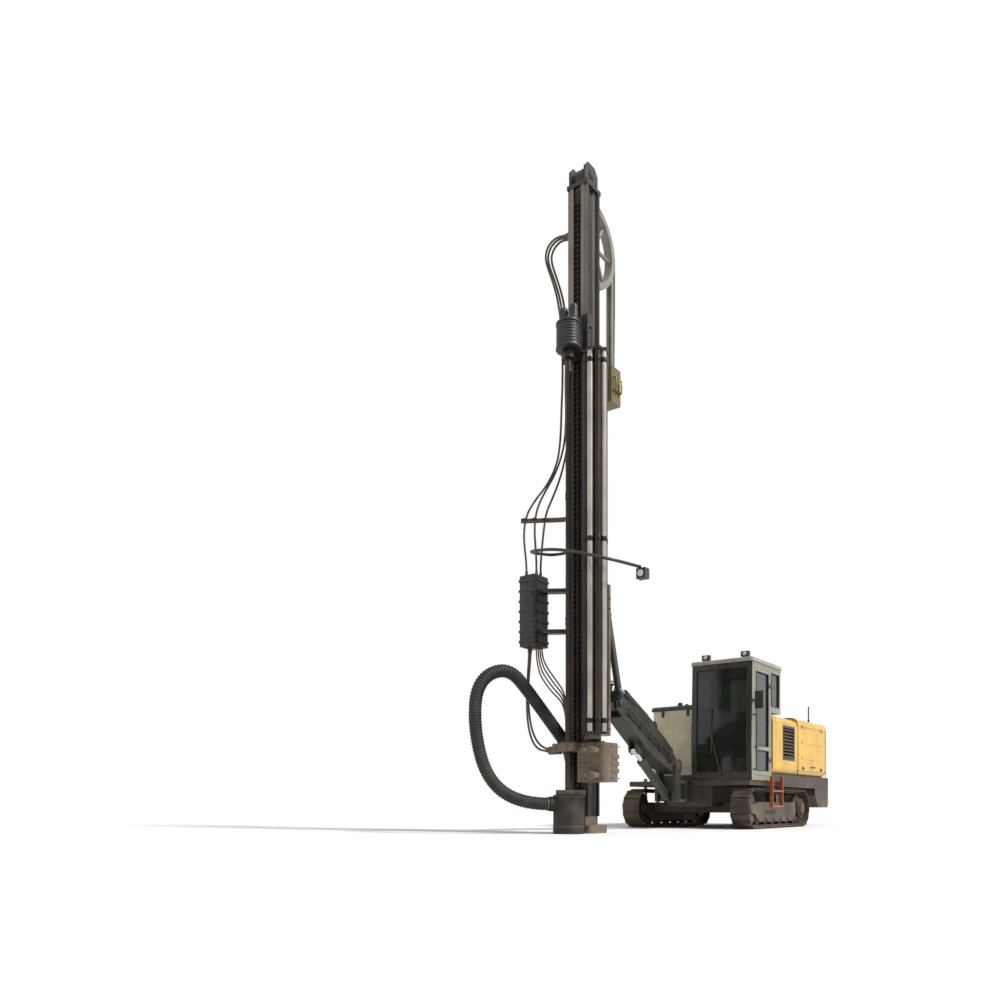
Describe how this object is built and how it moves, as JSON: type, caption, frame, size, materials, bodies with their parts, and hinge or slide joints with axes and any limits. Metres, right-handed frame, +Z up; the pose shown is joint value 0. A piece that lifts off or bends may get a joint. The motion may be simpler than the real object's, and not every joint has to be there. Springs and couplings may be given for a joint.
{
  "type": "crawler drilling rig",
  "caption": "Crawler drilling rig with a cab, a yellow hood, a lifting boom and a tall feed mast with rotation head and rod carousel.",
  "frame": {"origin": "bottom centre of the whole machine on the ground", "axes": "+X ahead towards the mast, +Y to the machine's left, +Z up along the mast"},
  "size_m": [9.486, 2.63, 9.8],
  "materials": {
    "track_steel": "worn, dusty steel shoes",
    "frame_steel": "dark paint under dust",
    "yellow_paint": "glossy yellow paint",
    "dark_panel": "dark grey panel paint",
    "engine_iron": "plain",
    "cream_paint": "cream paint",
    "orange_paint": "orange-red paint",
    "cab_paint": "beige-grey paint",
    "roof_paint": "pale paint",
    "tinted_glass": "tinted glass",
    "boom_paint": "dark grey-green paint",
    "chrome_rod": "polished rod",
    "dusty_steel": "taupe paint under dust",
    "beam_aluminium": "bare dusty aluminium",
    "chain_steel": "oiled steel",
    "black_rubber": "ribbed black rubber",
    "black_steel": "black paint",
    "rod_steel": "worn drill steel",
    "hose_rubber": "black hydraulic hose"
  },
  "bodies": {
    "carrier": {"cab_fittings": "dark_panel", "cab_interior": "dark_panel", "cab_roof": "roof_paint", "cab_shell": "cab_paint", "cab_windows": "tinted_glass", "chassis": "yellow_paint", "collector_lid": "dark_panel", "cooler": "dark_panel", "deck": "frame_steel", "dust_collector": "cream_paint", "engine_block": "engine_iron", "hood_fittings": "dark_panel", "hood_front": "yellow_paint", "hood_main": "yellow_paint", "louvre_panel": "dark_panel", "rear_counterweight": "frame_steel", "rollers_left": "track_steel", "rollers_right": "track_steel", "side_steps": "orange_paint", "track_frame_left": "frame_steel", "track_frame_right": "frame_steel", "track_left": "track_steel", "track_right": "track_steel"},
    "boom_base": {"boom_base": "boom_paint"},
    "boom": {"boom": "boom_paint"},
    "lift_barrel": {"lift_barrel": "boom_paint"},
    "lift_rod": {"lift_rod": "chrome_rod"},
    "boom_head": {"boom_head": "boom_paint"},
    "tilt_barrel": {"tilt_barrel": "boom_paint"},
    "tilt_rod": {"tilt_rod": "chrome_rod"},
    "feed_holder": {"feed_holder": "dusty_steel", "extension_barrel": "dusty_steel"},
    "swing_barrel": {"swing_barrel": "boom_paint"},
    "swing_rod": {"swing_rod": "chrome_rod"},
    "feed": {"feed_beam": "beam_aluminium", "feed_crown": "beam_aluminium", "feed_chain": "chain_steel", "feed_foot": "dusty_steel", "drill_guides": "dusty_steel", "suction_hood": "black_rubber", "suction_hose": "black_rubber", "suction_flange": "dusty_steel", "carousel_brackets": "dusty_steel", "hose_rack": "dusty_steel", "valve_box": "black_steel", "hose_guide": "black_steel", "lamp_hoop": "black_steel", "extension_rod": "chrome_rod", "hose_line_1": "hose_rubber", "hose_line_2": "hose_rubber", "hose_line_3": "hose_rubber", "hose_line_4": "hose_rubber", "hose_line_5": "hose_rubber"},
    "rotation_head": {"rotation_head": "dusty_steel"},
    "drill_string": {"drill_string": "rod_steel"},
    "rod_carousel": {"rod_carousel": "rod_steel"},
    "cab_door": {"cab_door": "cab_paint", "door_glass": "tinted_glass"},
    "hood_lid_left": {"hood_lid_left": "yellow_paint"},
    "hood_lid_right": {"hood_lid_right": "yellow_paint"}
  },
  "joints": [
    {"name": "boom_swing", "type": "hinge", "parent": "carrier", "child": "boom_base", "pos_m": [0.22, -0.1, 0.66], "axis": [0, 0, 1], "range_deg": [-20, 20]},
    {"name": "boom_lift", "type": "hinge", "parent": "boom_base", "child": "boom", "pos_m": [0.42, -0.1, 1.08], "axis": [0, -1, 0], "range_deg": [-15, 30]},
    {"name": "feed_tilt", "type": "hinge", "parent": "boom", "child": "boom_head", "pos_m": [2.41872, -0.1, 1.99931], "axis": [0, -1, 0], "range_deg": [-25, 45]},
    {"name": "feed_swing", "type": "hinge", "parent": "boom_head", "child": "feed_holder", "pos_m": [2.9, -0.1, 1.99931], "axis": [1, 0, 0], "range_deg": [-20, 20]},
    {"name": "feed_extension", "type": "slide", "parent": "feed_holder", "child": "feed", "axis": [0, 0, 1], "range_m": [0, 1.2]},
    {"name": "head_slide", "type": "slide", "parent": "feed", "child": "rotation_head", "axis": [0, 0, 1], "range_m": [-5.4, 1.8]},
    {"name": "drill_spin", "type": "hinge", "parent": "rotation_head", "child": "drill_string", "pos_m": [3.68, -0.1, 6.95], "axis": [0, 0, 1], "continuous": true},
    {"name": "carousel_turn", "type": "hinge", "parent": "feed", "child": "rod_carousel", "pos_m": [3.66, 0.33, 4], "axis": [0, 0, 1], "continuous": true},
    {"name": "cab_door_hinge", "type": "hinge", "parent": "carrier", "child": "cab_door", "pos_m": [-0.992, 1.186, 1.8], "axis": [0, 0, 1], "range_deg": [0, 80]},
    {"name": "lid_left_hinge", "type": "hinge", "parent": "carrier", "child": "hood_lid_left", "pos_m": [-3.38, 1.206, 1.949], "axis": [1, 0, 0], "range_deg": [0, 75]},
    {"name": "lid_right_hinge", "type": "hinge", "parent": "carrier", "child": "hood_lid_right", "pos_m": [-3.38, -1.206, 1.949], "axis": [-1, 0, 0], "range_deg": [0, 75]},
    {"name": "lift_barrel_turn", "type": "hinge", "parent": "boom_base", "child": "lift_barrel", "pos_m": [0.55, -0.1, 0.56], "axis": [0, -1, 0], "range_deg": [-14, 27]},
    {"name": "lift_rod_slide", "type": "slide", "parent": "lift_barrel", "child": "lift_rod", "axis": [0.8387, 0, 0.5446], "range_m": [-0.13, 0.26]},
    {"name": "tilt_barrel_turn", "type": "hinge", "parent": "boom", "child": "tilt_barrel", "pos_m": [1.09767, -0.1, 1.76043], "axis": [0, -1, 0], "range_deg": [-0.6, 0.9]},
    {"name": "tilt_rod_slide", "type": "slide", "parent": "tilt_barrel", "child": "tilt_rod", "axis": [0.9115, 0, 0.4112], "range_m": [-0.245, 0.14]},
    {"name": "swing_barrel_turn", "type": "hinge", "parent": "boom_head", "child": "swing_barrel", "pos_m": [2.8, 0.23, 2.08], "axis": [1, 0, 0], "range_deg": [-21, 21]},
    {"name": "swing_rod_slide", "type": "slide", "parent": "swing_barrel", "child": "swing_rod", "axis": [0, -0.1601, 0.9871], "range_m": [-0.12, 0.12]}
  ],
  "couplings": [
    {"joint": "lift_barrel_turn", "follows": "boom_lift", "ratio": 0.84049},
    {"joint": "lift_rod_slide", "follows": "boom_lift", "m_per_rad": 0.48127},
    {"joint": "tilt_barrel_turn", "follows": "feed_tilt", "ratio": 0.01508},
    {"joint": "tilt_rod_slide", "follows": "feed_tilt", "m_per_rad": -0.30095},
    {"joint": "swing_barrel_turn", "follows": "feed_swing", "ratio": 1.0196},
    {"joint": "swing_rod_slide", "follows": "feed_swing", "m_per_rad": 0.33578}
  ]
}
